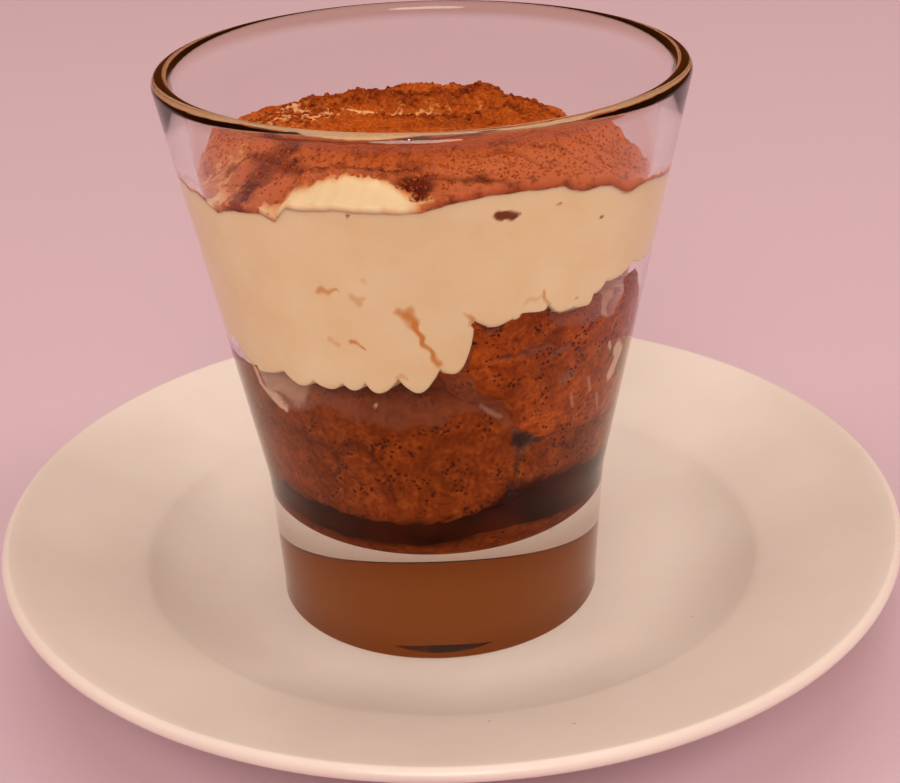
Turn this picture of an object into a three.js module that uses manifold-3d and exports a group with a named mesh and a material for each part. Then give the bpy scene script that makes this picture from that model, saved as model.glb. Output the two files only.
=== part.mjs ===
// Tiramisu in a heavy-based conical tumbler that stands in the well of a broad-rimmed plate.
// Millimetres, +Z up. The origin is the middle of the plate's foot on the table, and the front is -Y.
// Inside the tumbler, from below: a pool of coffee with a scrap of sponge in it, soaked chunks of
// sponge fingers, a thick layer of mascarpone cream with a spooned top, and a skin of cocoa powder.
import * as THREE from "three";
import { mergeVertices } from "three/addons/utils/BufferGeometryUtils.js";
import Module from "manifold-3d";

const wasm = await Module();
wasm.setup();

// Air between pieces that touch.
const gap = 0.3;

// The plate: a flat middle that curves up to a soft shoulder, a broad rim that rises slowly and a
// rounded edge.
const plate = {
  radius: 80,
  flatRadius: 38,
  wellTop: 6,
  shoulderRadius: 55.5,
  shoulderTop: 11.3,
  rimRadius: 74,
  rimTop: 17.9,
  edgeTop: 19.6,
  edgeRadius: 1.3,
  thickness: 4.2,
  footInner: 41.5,
  footOuter: 45.5,
  recess: 1.7,
  steps: 44,
};

// The tumbler, with heights above its own underside.
const tumbler = {
  x: -2.3,
  y: -5.1,
  height: 95,
  baseRadius: 28.3,
  baseEdge: 2,
  kneeRadius: 29.5,
  kneeHeight: 24,
  flare: 0.19,
  shoulderHeight: 86,
  lipRadius: 42.7,
  wall: 3.05,
  floor: 17.3,
  corner: 11,
  cornerSteps: 5,
  punt: 0.8,
  steps: 48,
};

// The layers, as heights above the tumbler's underside. Angles run from the front towards +X.
const coffeeLevel = 25.4;
const cream = {
  steps: 60,
  underside: 46,
  leftEdge: 51.8,
  rightEdge: 62.2,
  stepUpAngle: 10,
  stepDownAngle: 172,
  stepSoftness: 2,
  lobeAngle: 15,
  lobeDepth: 2,
  edgeRound: 1.6,
  wallRings: 3,
};
const top = {
  atBack: 77.8,
  frontRise: 6.8,
  frontAngle: 13,
  crown: 84.8,
  reach: 28.5,
  reachToFront: 6.5,
  reachToLeft: 3,
  steepness: 8,
  rings: [1, 0.94, 0.87, 0.78, 0.67, 0.52, 0.3],
};
const roomSteps = 40;
const cocoaThickness = 1.2;

// Ridges and hollows of the spooned top: middle, size, turn in degrees and height.
const relief = [
  { name: "back ridge", x: 4.4, y: 10.7, along: 17, across: 2.8, turn: -4, height: 1.5 },
  { name: "trough before the ridge", x: -0.6, y: 3.2, along: 13, across: 3, turn: -3, height: -1.3 },
  { name: "left shoulder", x: -20.6, y: 4.7, along: 8, across: 7, turn: 60, height: 0.8 },
  { name: "right crease", x: 21.4, y: -10.3, along: 9, across: 2.4, turn: 35, height: -0.9 },
  { name: "right swell", x: 16.4, y: -2.3, along: 8, across: 4.5, turn: 20, height: 0.7 },
  { name: "front fold", x: -11.6, y: -30.3, along: 15, across: 2.6, turn: -18, height: 1.2 },
  { name: "groove behind the fold", x: -9.6, y: -24.3, along: 13, across: 2.8, turn: -16, height: -1 },
  { name: "pit at the fold's end", x: -1.1, y: -33.8, along: 2.2, across: 1.8, turn: 0, height: -2 },
];

// Where the cream's folded shoulder is left bare of cocoa.
const bareShoulder = { angle: -19, reach: 35.9, height: 84.6, wide: 12.5, deep: 4.6, tall: 4.2, turn: 0 };

// Soaked chunks of sponge finger: direction and distance of the middle, its height and half sizes.
const chunks = {
  sponge_bottom: { angle: 0, reach: 5, height: 19.6, wide: 24, deep: 20.5, tall: 4.3, turn: 0 },
  sponge_front: { angle: -21, reach: 11.5, height: 36.4, wide: 23.4, deep: 20.2, tall: 16.6, turn: 2 },
  sponge_right_low: { angle: 46, reach: 12, height: 33, wide: 15.5, deep: 20, tall: 8.4, turn: 4 },
  sponge_right_high: { angle: 41, reach: 12, height: 52.2, wide: 18.5, deep: 23, tall: 14.2, turn: -5 },
  sponge_back_left: { angle: -128, reach: 13, height: 37.5, wide: 21, deep: 18, tall: 16.5, turn: 6 },
  sponge_back_right: { angle: 132, reach: 14, height: 38.5, wide: 22, deep: 19, tall: 17.5, turn: -5 },
};
const chunkShape = { power: 2.7, knuckle: 0.025, aroundSteps: 18, upSteps: 11 };

const radians = THREE.MathUtils.degToRad;

function smoothStep(edge, softness, value) {
  return 1 / (1 + Math.exp(-(value - edge) / softness));
}

// Points of an arc in the (radius, height) plane.
function arc(middleRadius, middleHeight, radius, fromAngle, toAngle, steps) {
  const points = [];
  for (let i = 0; i <= steps; i += 1) {
    const angle = radians(fromAngle + ((toAngle - fromAngle) * i) / steps);
    points.push([middleRadius + radius * Math.cos(angle), middleHeight + radius * Math.sin(angle)]);
  }
  return points;
}

// A solid of revolution about +Z. The outline starts and ends on the axis, from below.
function turned(outline, steps) {
  const points = outline.map(([radius, height]) => new THREE.Vector2(radius, height));
  return new THREE.LatheGeometry(points, steps).rotateX(Math.PI / 2);
}

// A closed solid about +Z whose outline changes with the angle. Its first and last points are on
// the axis and are the same at every angle. Each quad's diagonal runs inwards from the outer corner
// at the lower angle, so that two surfaces one above the other have like facets.
function turnedFreely(outlineAt, steps) {
  const outlines = [];
  for (let i = 0; i < steps; i += 1) outlines.push(outlineAt((360 * i) / steps - 180));
  const count = outlines[0].length;
  const rings = count - 2;
  const positions = [0, 0, outlines[0][0][1], 0, 0, outlines[0][count - 1][1]];
  outlines.forEach((outline, i) => {
    const angle = radians((360 * i) / steps - 180);
    for (let j = 1; j <= rings; j += 1) {
      const [radius, height] = outline[j];
      positions.push(radius * Math.sin(angle), -radius * Math.cos(angle), height);
    }
  });
  const at = (i, j) => 2 + (i % steps) * rings + j;
  const faces = [];
  for (let i = 0; i < steps; i += 1) {
    faces.push(0, at(i + 1, 0), at(i, 0));
    for (let j = 0; j < rings - 1; j += 1) {
      const corners = [at(i, j), at(i + 1, j), at(i + 1, j + 1), at(i, j + 1)];
      const inwards = outlines[i][j + 2][0] < outlines[i][j + 1][0];
      const order = inwards ? [0, 1, 2, 0, 2, 3] : [0, 1, 3, 1, 2, 3];
      faces.push(...order.map((corner) => corners[corner]));
    }
    faces.push(1, at(i, rings - 1), at(i + 1, rings - 1));
  }
  const geometry = new THREE.BufferGeometry();
  geometry.setAttribute("position", new THREE.Float32BufferAttribute(positions, 3));
  geometry.setIndex(faces);
  return geometry;
}

// A mesh's geometry as a solid that can be cut and joined, and back.
function solidOf(geometry) {
  const bare = geometry.clone();
  bare.deleteAttribute("normal");
  bare.deleteAttribute("uv");
  const merged = mergeVertices(bare, 1e-4);
  return new wasm.Manifold(
    new wasm.Mesh({
      numProp: 3,
      vertProperties: new Float32Array(merged.attributes.position.array),
      triVerts: new Uint32Array(merged.index.array),
    }),
  );
}

function geometryOf(solid) {
  const mesh = solid.getMesh();
  const geometry = new THREE.BufferGeometry();
  geometry.setAttribute("position", new THREE.BufferAttribute(mesh.vertProperties, 3));
  geometry.setIndex(new THREE.BufferAttribute(mesh.triVerts, 1));
  geometry.computeVertexNormals();
  return geometry;
}

// Cutting can leave loose crumbs, which are dropped.
function largestBody(solid) {
  return solid.decompose().reduce((a, b) => (a.volume() > b.volume() ? a : b));
}

// ---- plate ----

function plateOutline() {
  const p = plate;
  const edgeMiddle = p.radius - p.edgeRadius;
  const underShoulder = p.shoulderTop - p.thickness;
  const underRim = p.rimTop - p.thickness;
  // an arc that leaves the flat middle level and ends at the shoulder
  const wide = p.shoulderRadius - p.flatRadius;
  const rise = p.shoulderTop - p.wellTop;
  const bend = (wide ** 2 + rise ** 2) / (2 * rise);
  const turn = THREE.MathUtils.radToDeg(Math.asin(wide / bend));
  const wellWall = arc(p.flatRadius, p.wellTop + bend, bend, -90, turn - 90, 6);
  return [
    [0, p.recess],
    [p.footInner - 1.5, p.recess],
    [p.footInner, 0],
    [p.footOuter, 0],
    [p.footOuter + 1.5, 2],
    [p.shoulderRadius - 3.5, underShoulder - 2.2],
    [p.shoulderRadius + 1.5, underShoulder],
    [p.rimRadius, underRim],
    ...arc(edgeMiddle, p.edgeTop - p.edgeRadius, p.edgeRadius, -60, 100, 7),
    [p.rimRadius + 3, p.edgeTop - 0.5],
    [p.rimRadius, p.rimTop],
    [p.shoulderRadius + 2.5, p.shoulderTop + 0.9],
    ...wellWall.reverse(),
    [0, p.wellTop],
  ];
}

// ---- tumbler ----

function outerRadius(height) {
  return tumbler.kneeRadius + tumbler.flare * (height - tumbler.kneeHeight);
}

function innerRadius(height) {
  return outerRadius(height) - tumbler.wall;
}

function tumblerOutline() {
  const t = tumbler;
  const cornerTop = t.floor + t.corner;
  const cornerRadius = innerRadius(cornerTop);
  const lip = t.wall / 2;
  return [
    [0, t.punt],
    [t.baseRadius - t.baseEdge - 4, 0],
    ...arc(t.baseRadius - t.baseEdge, t.baseEdge, t.baseEdge, -90, 0, 4),
    [t.kneeRadius - 0.4, t.kneeHeight - 7],
    [t.kneeRadius, t.kneeHeight],
    [outerRadius(t.shoulderHeight), t.shoulderHeight],
    ...arc(t.lipRadius - lip, t.height - lip, lip, 0, 180, 6),
    [innerRadius(t.shoulderHeight), t.shoulderHeight],
    ...arc(cornerRadius - t.corner, cornerTop, t.corner, 0, -90, t.cornerSteps),
    [0, t.floor],
  ];
}

// The room inside the tumbler up to its shoulder, a gap clear of its wall and floor.
function room() {
  const t = tumbler;
  const cornerTop = t.floor + t.corner;
  const middle = innerRadius(cornerTop) - t.corner;
  const outline = [
    [0, t.floor + 2 * gap],
    ...arc(middle, cornerTop + gap, t.corner - gap, -90, 0, t.cornerSteps),
    [innerRadius(t.shoulderHeight) - gap, t.shoulderHeight],
    [0, t.shoulderHeight],
  ];
  return turned(outline, roomSteps);
}

// ---- sponge ----

// A rounded block with shallow knuckles, its middle set by direction and distance from the axis.
function block({ angle, reach, height, wide, deep, tall, turn }, grow = 0) {
  const geometry = new THREE.SphereGeometry(1, chunkShape.aroundSteps, chunkShape.upSteps);
  const position = geometry.getAttribute("position");
  const { power, knuckle } = chunkShape;
  const point = new THREE.Vector3();
  for (let i = 0; i < position.count; i += 1) {
    point.fromBufferAttribute(position, i);
    const size = Math.abs(point.x) ** power + Math.abs(point.y) ** power + Math.abs(point.z) ** power;
    const bumps = Math.sin(5 * point.x + angle) + Math.sin(6 * point.y + height) + Math.sin(5 * point.z);
    point.multiplyScalar(size ** (-1 / power) * (1 + knuckle * bumps));
    point.multiply(new THREE.Vector3(wide + grow, deep + grow, tall + grow));
    position.setXYZ(i, point.x, point.y, point.z);
  }
  const direction = radians(angle);
  geometry.rotateZ(direction + radians(turn));
  geometry.translate(reach * Math.sin(direction), -reach * Math.cos(direction), height);
  return geometry;
}

// Each chunk fills its block inside the glass and gives way to the chunks laid before it.
function layChunks(inside) {
  const laid = {};
  let taken = null;
  for (const [name, size] of Object.entries(chunks)) {
    let chunk = solidOf(block(size)).intersect(inside);
    if (taken) chunk = chunk.subtract(taken);
    laid[name] = largestBody(chunk);
    const grown = solidOf(block(size, gap));
    taken = taken ? taken.add(grown) : grown;
  }
  return { laid, taken };
}

// ---- cream and cocoa ----

// The height of the cream's lower edge at the glass: rounded lobes at two levels.
function creamEdge(angle) {
  const c = cream;
  const up = smoothStep(c.stepUpAngle, c.stepSoftness, angle);
  const down = smoothStep(c.stepDownAngle, c.stepSoftness, angle);
  const lobes = Math.abs(Math.sin((Math.PI * angle) / c.lobeAngle + Math.sin(radians(3 * angle))));
  return c.leftEdge + (c.rightEdge - c.leftEdge) * (up - down) + c.lobeDepth * (0.6 - lobes);
}

// The height at which cream and cocoa meet at the glass.
function topEdge(angle) {
  const front = Math.max(0, Math.cos(radians(angle - top.frontAngle))) ** 3;
  return top.atBack + top.frontRise * front + 0.5 * Math.sin(radians(7 * angle)) * front;
}

// The cream's top surface: a broad crown that falls off towards the glass, with the relief on it.
function topHeight(angle, share) {
  const edge = topEdge(angle);
  const glassRadius = innerRadius(edge) - gap;
  const sine = Math.sin(radians(angle));
  const cosine = Math.cos(radians(angle));
  const x = share * glassRadius * sine;
  const y = -share * glassRadius * cosine;
  const reach = top.reach + top.reachToFront * cosine - top.reachToLeft * sine;
  const crown = 1 / (1 + ((share * glassRadius) / reach) ** top.steepness);
  const crownAtGlass = 1 / (1 + (glassRadius / reach) ** top.steepness);
  let height = edge + ((top.crown - edge) * (crown - crownAtGlass)) / (1 - crownAtGlass);
  for (const r of relief) {
    const turn = radians(r.turn);
    const along = ((x - r.x) * Math.cos(turn) + (y - r.y) * Math.sin(turn)) / r.along;
    const across = ((y - r.y) * Math.cos(turn) - (x - r.x) * Math.sin(turn)) / r.across;
    height += r.height * Math.exp(-(along ** 2) - across ** 2) * (1 - share ** 12);
  }
  return height;
}

// The top surface's points from the glass to the axis.
function topPoints(angle, lift) {
  const radius = innerRadius(topEdge(angle)) - gap;
  return top.rings.map((share) => [share * radius, topHeight(angle, share) + lift]);
}

function creamOutline(angle) {
  const c = cream;
  const edge = creamEdge(angle);
  const edgeRadius = innerRadius(edge) - gap;
  const outline = [
    [0, c.underside],
    [0.5 * edgeRadius, c.underside + 1],
    [edgeRadius - 4 * c.edgeRound, edge - 0.6 * c.edgeRound],
    ...arc(edgeRadius - c.edgeRound, edge + c.edgeRound, c.edgeRound, -90, -20, 2),
  ];
  const topOfWall = topEdge(angle);
  for (let i = 1; i < c.wallRings; i += 1) {
    const height = edge + 2 * c.edgeRound + ((topOfWall - edge - 2 * c.edgeRound) * i) / c.wallRings;
    outline.push([innerRadius(height) - gap, height]);
  }
  return [...outline, ...topPoints(angle, 0), [0, topHeight(0, 0)]];
}

function cocoaOutline(angle) {
  const under = topPoints(angle, gap);
  const over = topPoints(angle, gap + cocoaThickness);
  const middle = topHeight(0, 0) + gap;
  return [[0, middle], ...under.reverse(), ...over, [0, middle + cocoaThickness]];
}

// ---- the object ----

const colours = {
  porcelain: { color: "#e6dcd6", roughness: 0.15, metalness: 0 },
  glass: { color: "#dfe6e4", roughness: 0.05, metalness: 0, transparent: true, opacity: 0.35 },
  coffee: { color: "#2a120b", roughness: 0.2, metalness: 0 },
  sponge: { color: "#7c4320", roughness: 0.75, metalness: 0 },
  cream: { color: "#f0dcb4", roughness: 0.5, metalness: 0 },
  cocoa: { color: "#8f4a22", roughness: 0.9, metalness: 0 },
};

function piece(name, geometry, colour) {
  const mesh = new THREE.Mesh(geometry, new THREE.MeshStandardMaterial(colours[colour]));
  mesh.name = name;
  return mesh;
}

const tiramisu = new THREE.Group();
tiramisu.add(piece("plate", turned(plateOutline(), plate.steps), "porcelain"));

const serving = new THREE.Group();
serving.position.set(tumbler.x, tumbler.y, plate.wellTop + gap);
serving.add(piece("glass", turned(tumblerOutline(), tumbler.steps), "glass"));

const inside = solidOf(room());
const { laid, taken } = layChunks(inside);
for (const [name, chunk] of Object.entries(laid)) {
  serving.add(piece(name, geometryOf(chunk), "sponge"));
}

const belowLevel = inside.trimByPlane([0, 0, -1], -coffeeLevel);
const coffee = largestBody(belowLevel.subtract(taken));
serving.add(piece("coffee", geometryOf(coffee), "coffee"));

const creamBody = largestBody(solidOf(turnedFreely(creamOutline, cream.steps)).subtract(taken));
serving.add(piece("cream", geometryOf(creamBody), "cream"));

const cocoaSkin = solidOf(turnedFreely(cocoaOutline, cream.steps));
const cocoa = largestBody(cocoaSkin.subtract(solidOf(block(bareShoulder))));
serving.add(piece("cocoa", geometryOf(cocoa), "cocoa"));

tiramisu.add(serving);
export default tiramisu;
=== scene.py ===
import math

import bpy
import numpy as np
from mathutils import Matrix, Vector, noise


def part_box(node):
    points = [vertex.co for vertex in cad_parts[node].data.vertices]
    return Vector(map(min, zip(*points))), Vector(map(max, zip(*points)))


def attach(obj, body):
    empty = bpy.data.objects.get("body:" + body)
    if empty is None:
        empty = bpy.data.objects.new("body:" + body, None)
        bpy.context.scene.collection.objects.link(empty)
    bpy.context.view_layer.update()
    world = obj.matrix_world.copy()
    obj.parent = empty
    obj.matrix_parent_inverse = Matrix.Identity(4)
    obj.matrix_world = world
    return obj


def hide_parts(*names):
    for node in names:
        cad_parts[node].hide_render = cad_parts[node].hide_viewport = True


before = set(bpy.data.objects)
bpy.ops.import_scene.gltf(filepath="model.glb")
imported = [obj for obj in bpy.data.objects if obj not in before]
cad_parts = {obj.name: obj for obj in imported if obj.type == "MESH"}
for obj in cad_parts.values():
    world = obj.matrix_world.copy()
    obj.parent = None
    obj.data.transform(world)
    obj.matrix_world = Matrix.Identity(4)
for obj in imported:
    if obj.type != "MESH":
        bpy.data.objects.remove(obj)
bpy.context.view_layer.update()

mm = 0.001
bpy.context.scene.view_settings.view_transform = "Standard"

# Shapes inside the tumbler are worked out in millimetres about the tumbler's own axis and underside.
glassLow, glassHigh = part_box("glass")
glassAt = np.array([(glassLow.x + glassHigh.x) / 2, (glassLow.y + glassHigh.y) / 2, glassLow.z]) / mm


def colour(hexCode):
    # sRGB hex to linear red, green, blue, with full alpha
    values = [int(hexCode[i:i + 2], 16) / 255 for i in (1, 3, 5)]
    linear = [v / 12.92 if v <= 0.04045 else ((v + 0.055) / 1.055) ** 2.4 for v in values]
    return (*linear, 1.0)


def nodeAdder(tree):
    def add(kind, inputs=None, stops=None, **settings):
        # adds a node, sets its options, and sets or links its inputs; a node given as an input is linked by
        # its first output in use, a hex code becomes a colour, and stops are a colour ramp's
        isFull = kind.startswith(("Geometry", "Function", "Node"))
        node = tree.nodes.new(kind if isFull else "ShaderNode" + kind)
        for name, value in settings.items():
            setattr(node, name, value)
        for name, value in (inputs or {}).items():
            if isinstance(value, bpy.types.Node):
                value = next(socket for socket in value.outputs if socket.enabled)
            if isinstance(value, bpy.types.NodeSocket):
                tree.links.new(value, node.inputs[name])
            else:
                isHex = isinstance(value, str) and value.startswith("#")
                node.inputs[name].default_value = colour(value) if isHex else value
        for i, (place, value) in enumerate(stops or []):
            if i == len(node.color_ramp.elements):
                node.color_ramp.elements.new(place)
            node.color_ramp.elements[i].position = place
            node.color_ramp.elements[i].color = colour(value)
        return node
    return add


def noisy(add, where, scale, detail, roughness=0.5, distortion=0.0):
    return add("TexNoise", {
        "Vector": where, "Scale": scale, "Detail": detail, "Roughness": roughness, "Distortion": distortion})


def remap(add, value, low, high, start=0.0, stop=1.0):
    # carries values between low and high over to the range from start to stop
    return add("MapRange", {
        "Value": value, "From Min": low, "From Max": high, "To Min": start, "To Max": stop})


def layered(add, base, *layers, **settings):
    # lays colours over a base, each as thick as its amount says
    for amount, tint in layers:
        base = add("Mix", {0: amount, 6: base, 7: tint}, data_type="RGBA", **settings)
    return base


def plainSurface(material, add, inputs):
    # a material that is one surface shader
    add("OutputMaterial", {"Surface": add("BsdfPrincipled", inputs)})
    return material


def newMaterial(name, *values):
    # an empty material, its node adder, the object's own coordinates, and values kept at the mesh's points
    material = bpy.data.materials.new(name)
    material.use_nodes = True
    material.node_tree.nodes.clear()
    add = nodeAdder(material.node_tree)
    marks = [add("Attribute", attribute_name=value).outputs["Fac"] for value in values]
    return material, add, add("TexCoord").outputs["Object"], *marks


def finished(piece, slot, *nodes):
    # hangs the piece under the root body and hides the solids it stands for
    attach(piece, "root")
    if nodes:
        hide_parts(*nodes)
    return piece


def addObject(name, points, faces, material, **values):
    # a smooth mesh from points in millimetres about the tumbler, with a value at each point for its material
    mesh = bpy.data.meshes.new(name)
    mesh.from_pydata(((np.asarray(points) + glassAt) * mm).tolist(), [], faces)
    mesh.polygons.foreach_set("use_smooth", [True] * len(mesh.polygons))
    mesh.materials.append(material)
    for key, value in values.items():
        mesh.attributes.new(key, "FLOAT", "POINT").data.foreach_set("value", value.astype(np.float32))
    mesh.update()
    piece = bpy.data.objects.new(name, mesh)
    bpy.context.scene.collection.objects.link(piece)
    return piece


def arc(middle, radius, start, stop, steps):
    angles = np.radians(np.linspace(start, stop, steps + 1))
    return [(middle[0] + radius * math.cos(a), middle[1] + radius * math.sin(a)) for a in angles]


def softened(points, rounds):
    # cuts the corners of an outline, more finely each round, and keeps its ends
    points = np.array(points, float)
    for _ in range(rounds):
        a, b = points[:-1], points[1:]
        cut = np.stack([0.75 * a + 0.25 * b, 0.25 * a + 0.75 * b], 1).reshape(-1, 2)
        points = np.vstack([points[:1], cut, points[-1:]])
    return points


def aroundAxis(radius, height, angles):
    # points at those angles from the front, towards +X
    return np.stack([radius * np.sin(angles), -radius * np.cos(angles), height + 0 * angles], -1)


def closedGrid(grid, below, above):
    # grid[i, j] goes round with i and up with j, and closes at the points below and above
    steps, rings = grid.shape[:2]
    index = 2 + np.arange(steps * rings).reshape(steps, rings)
    after = np.roll(index, -1, axis=0)
    quads = np.stack([index[:, :-1], after[:, :-1], after[:, 1:], index[:, 1:]], -1).reshape(-1, 4)
    lower = np.stack([np.zeros(steps, int), after[:, 0], index[:, 0]], -1)
    upper = np.stack([np.ones(steps, int), index[:, -1], after[:, -1]], -1)
    points = np.vstack([below, above, grid.reshape(-1, 3)])
    return points, quads.tolist() + lower.tolist() + upper.tolist()


def withPoles(values, below=0, above=0):
    # values at a closed grid's points, in the order of its points
    return np.concatenate([[below, above], values.reshape(-1)])


def fractal(points, size, octaves=4, seed=0.0):
    # smooth noise of about -1 to 1, whose largest lumps are "size" millimetres across
    shift = Vector((seed * 3.1, seed * 7.7, seed * 5.3))
    flat = np.asarray(points, float).reshape(-1, 3) / size
    values = [noise.fractal(Vector(p) + shift, 1.0, 2.1, octaves) for p in flat]
    return np.array(values).reshape(np.asarray(points).shape[:-1])


def smooth(low, high, value):
    t = np.clip((value - low) / (high - low), 0, 1)
    return t * t * (3 - 2 * t)


def segmentDistance(points, start, stop):
    # distance to a straight line and the share of it that is nearest
    along = np.subtract(stop, start)
    share = np.clip(((points - start) @ along) / (along @ along), 0, 1)
    return np.linalg.norm(points - start - share[..., None] * along, axis=-1), share


def lineDistance(points, line):
    # distance to a line through several points
    line = np.array(line, float)
    return np.min([segmentDistance(points, a, b)[0] for a, b in zip(line, line[1:])], axis=0)


def outlineDistance(points, outline):
    # distance to a closed outline, positive inside it
    closed = outline + outline[:1]
    nearest = lineDistance(points, closed)
    inside = np.zeros(points.shape[:-1], bool)
    for a, b in zip(closed, closed[1:]):
        if a[1] != b[1]:
            crossing = (points[..., 1] - a[1]) / (b[1] - a[1]) * (b[0] - a[0]) + a[0]
            inside ^= ((a[1] > points[..., 1]) != (b[1] > points[..., 1])) & (points[..., 0] < crossing)
    return np.where(inside, nearest, -nearest)


def ovals(x, y, shapes):
    # for each oval, 0 at its middle and 1 at its edge: x, y, half length, half width, turn in degrees
    for middleX, middleY, along, across, turn, strength in shapes:
        c, s = math.cos(math.radians(turn)), math.sin(math.radians(turn))
        u = ((x - middleX) * c + (y - middleY) * s) / along
        v = ((y - middleY) * c - (x - middleX) * s) / across
        yield np.hypot(u, v), strength


# Camera, light and floor

view = {"place": (-2.3, -265.9, 166.8), "down": 25.48, "turn": -0.613, "lean": -1.88, "lens": 66.52}


def addCamera():
    lens = bpy.data.cameras.new("camera")
    lens.lens = view["lens"]
    lens.sensor_width = 36
    camera = bpy.data.objects.new("camera", lens)
    turn = Matrix.Rotation(math.radians(view["turn"]), 4, "Z")
    tip = Matrix.Rotation(math.radians(90 - view["down"]), 4, "X")
    lean = Matrix.Rotation(math.radians(view["lean"]), 4, "Z")
    camera.matrix_world = Matrix.Translation(Vector(view["place"]) * mm) @ turn @ tip @ lean
    bpy.context.scene.collection.objects.link(camera)
    bpy.context.scene.camera = camera


# A broad front light, a ceiling and two sides that nothing mirrors, and a small lamp that gives the glaze
# its sparks.
lights = {
    "ceiling": {"place": (0, 500, 1700), "size": 1800, "watts": 10.5, "tint": "#fff8ec", "mirrored": False},
    "front": {"place": (-100, -1500, 1100), "size": 1100, "watts": 18.5, "tint": "#fff8ec", "mirrored": True},
    "left": {"place": (-1500, -200, 1000), "size": 1000, "watts": 8.5, "tint": "#fff8ec", "mirrored": False},
    "right": {"place": (1500, -200, 1000), "size": 1000, "watts": 12, "tint": "#fff8ec", "mirrored": False},
    "lamp": {"place": (-100, -500, 1200), "size": 40, "watts": 0.4, "tint": "#fff4e0", "mirrored": True},
}


def addLights():
    for name, light in lights.items():
        data = bpy.data.lights.new(name, "AREA")
        data.shape = "DISK"
        data.size = light["size"] * mm
        data.energy = light["watts"]
        data.color = colour(light["tint"])[:3]
        lamp = bpy.data.objects.new(name, data)
        lamp.location = Vector(light["place"]) * mm
        lamp.rotation_euler = (Vector((0, 0, 0.05)) - lamp.location).to_track_quat("-Z", "Y").to_euler()
        lamp.visible_glossy = light["mirrored"]
        lamp.visible_transmission = False
        bpy.context.scene.collection.objects.link(lamp)


# A dim brown room, paler overhead, which the thick glass picks up.
room = {"low": "#80401b", "high": "#aea49a", "strength": 1.0}


def addWorld():
    world = bpy.data.worlds.new("room")
    bpy.context.scene.world = world
    world.use_nodes = True
    world.node_tree.nodes.clear()
    add = nodeAdder(world.node_tree)
    parts = add("SeparateXYZ", {"Vector": add("TexCoord").outputs["Generated"]})
    ramp = add("ValToRGB", {"Fac": parts.outputs["Z"]}, stops=[
        (0.0, room["low"]), (0.74, room["low"]), (0.88, room["high"])])
    shade = add("Background", {"Color": ramp, "Strength": room["strength"]})
    add("OutputWorld", {"Surface": shade})


floor = {"size": 16000, "colour": "#d0b3c0"}


def addFloor():
    material, add, _ = newMaterial("matt painted floor")
    plainSurface(material, add, {
        "Base Color": floor["colour"], "Roughness": 0.85, "Specular IOR Level": 0.2})
    half = floor["size"] * mm / 2
    mesh = bpy.data.meshes.new("floor")
    corners = [(-half, -half, 0), (half, -half, 0), (half, half, 0), (-half, half, 0)]
    mesh.from_pydata(corners, [], [(0, 1, 2, 3)])
    mesh.materials.append(material)
    ground = bpy.data.objects.new("floor", mesh)
    bpy.context.scene.collection.objects.link(ground)


addCamera()
addLights()
addWorld()
addFloor()
print("camera, light and floor are set")


# Turned pieces

def newTree(name, sockets):
    tree = bpy.data.node_groups.new(name, "GeometryNodeTree")
    tree.interface.new_socket("Geometry", in_out="OUTPUT", socket_type="NodeSocketGeometry")
    tree.interface.new_socket("Geometry", in_out="INPUT", socket_type="NodeSocketGeometry")
    for label, kind in sockets.items():
        tree.interface.new_socket(label, in_out="INPUT", socket_type="NodeSocket" + kind)
    return tree, nodeAdder(tree), tree.nodes.new("NodeGroupInput").outputs


def turningTree():
    # wraps an outline of points in the XZ plane round an upright axis
    tree, add, given = newTree("turned on a wheel", {
        "Steps Round": "Int", "Axis X": "Float", "Axis Y": "Float", "Finish": "Material"})
    count = add("GeometryNodeAttributeDomainSize", {"Geometry": given["Geometry"]}, component="MESH")
    rows = add("Math", {0: given["Steps Round"], 1: 1.0}, operation="ADD")
    sheet = add("GeometryNodeMeshGrid", {"Vertices X": rows, "Vertices Y": count})
    index = add("GeometryNodeInputIndex")
    share = add("Math", {0: index, 1: count}, operation="DIVIDE")
    row = add("Math", {0: share}, operation="FLOOR")
    place = add("Math", {0: index, 1: count}, operation="MODULO")
    where = add("GeometryNodeInputPosition")
    sample = add("GeometryNodeSampleIndex", {
        "Geometry": given["Geometry"], "Value": where, "Index": place}, data_type="FLOAT_VECTOR",
        domain="POINT")
    outline = add("SeparateXYZ", {0: sample})
    turns = add("Math", {0: row, 1: given["Steps Round"]}, operation="DIVIDE")
    angle = add("Math", {0: turns, 1: -2 * math.pi}, operation="MULTIPLY")
    sine = add("Math", {0: angle}, operation="SINE")
    cosine = add("Math", {0: angle}, operation="COSINE")
    x = add("Math", {0: outline.outputs["X"], 1: sine, 2: given["Axis X"]}, operation="MULTIPLY_ADD")
    y = add("Math", {0: outline.outputs["X"], 1: cosine, 2: given["Axis Y"]}, operation="MULTIPLY_ADD")
    point = add("CombineXYZ", {0: x, 1: y, 2: outline.outputs["Z"]})
    moved = add("GeometryNodeSetPosition", {"Geometry": sheet, "Position": point})
    closed = add("GeometryNodeMergeByDistance", {"Geometry": moved, "Distance": 1e-6})
    smoothed = add("GeometryNodeSetShadeSmooth", {"Geometry": closed})
    real = add("GeometryNodeRealizeInstances", {"Geometry": smoothed})
    dressed = add("GeometryNodeSetMaterial", {"Geometry": real, "Material": given["Finish"]})
    add("NodeGroupOutput", {"Geometry": dressed})
    return tree


def applied(piece, tree, settings):
    # runs a node tree on a piece and keeps the result as a plain mesh
    modifier = piece.modifiers.new(tree.name, "NODES")
    modifier.node_group = tree
    for item in tree.interface.items_tree:
        if item.in_out == "INPUT" and item.name in settings:
            modifier[item.identifier] = settings[item.name]
    seen = piece.evaluated_get(bpy.context.evaluated_depsgraph_get())
    mesh = bpy.data.meshes.new_from_object(seen)
    piece.modifiers.remove(modifier)
    piece.data = mesh
    return piece


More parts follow.
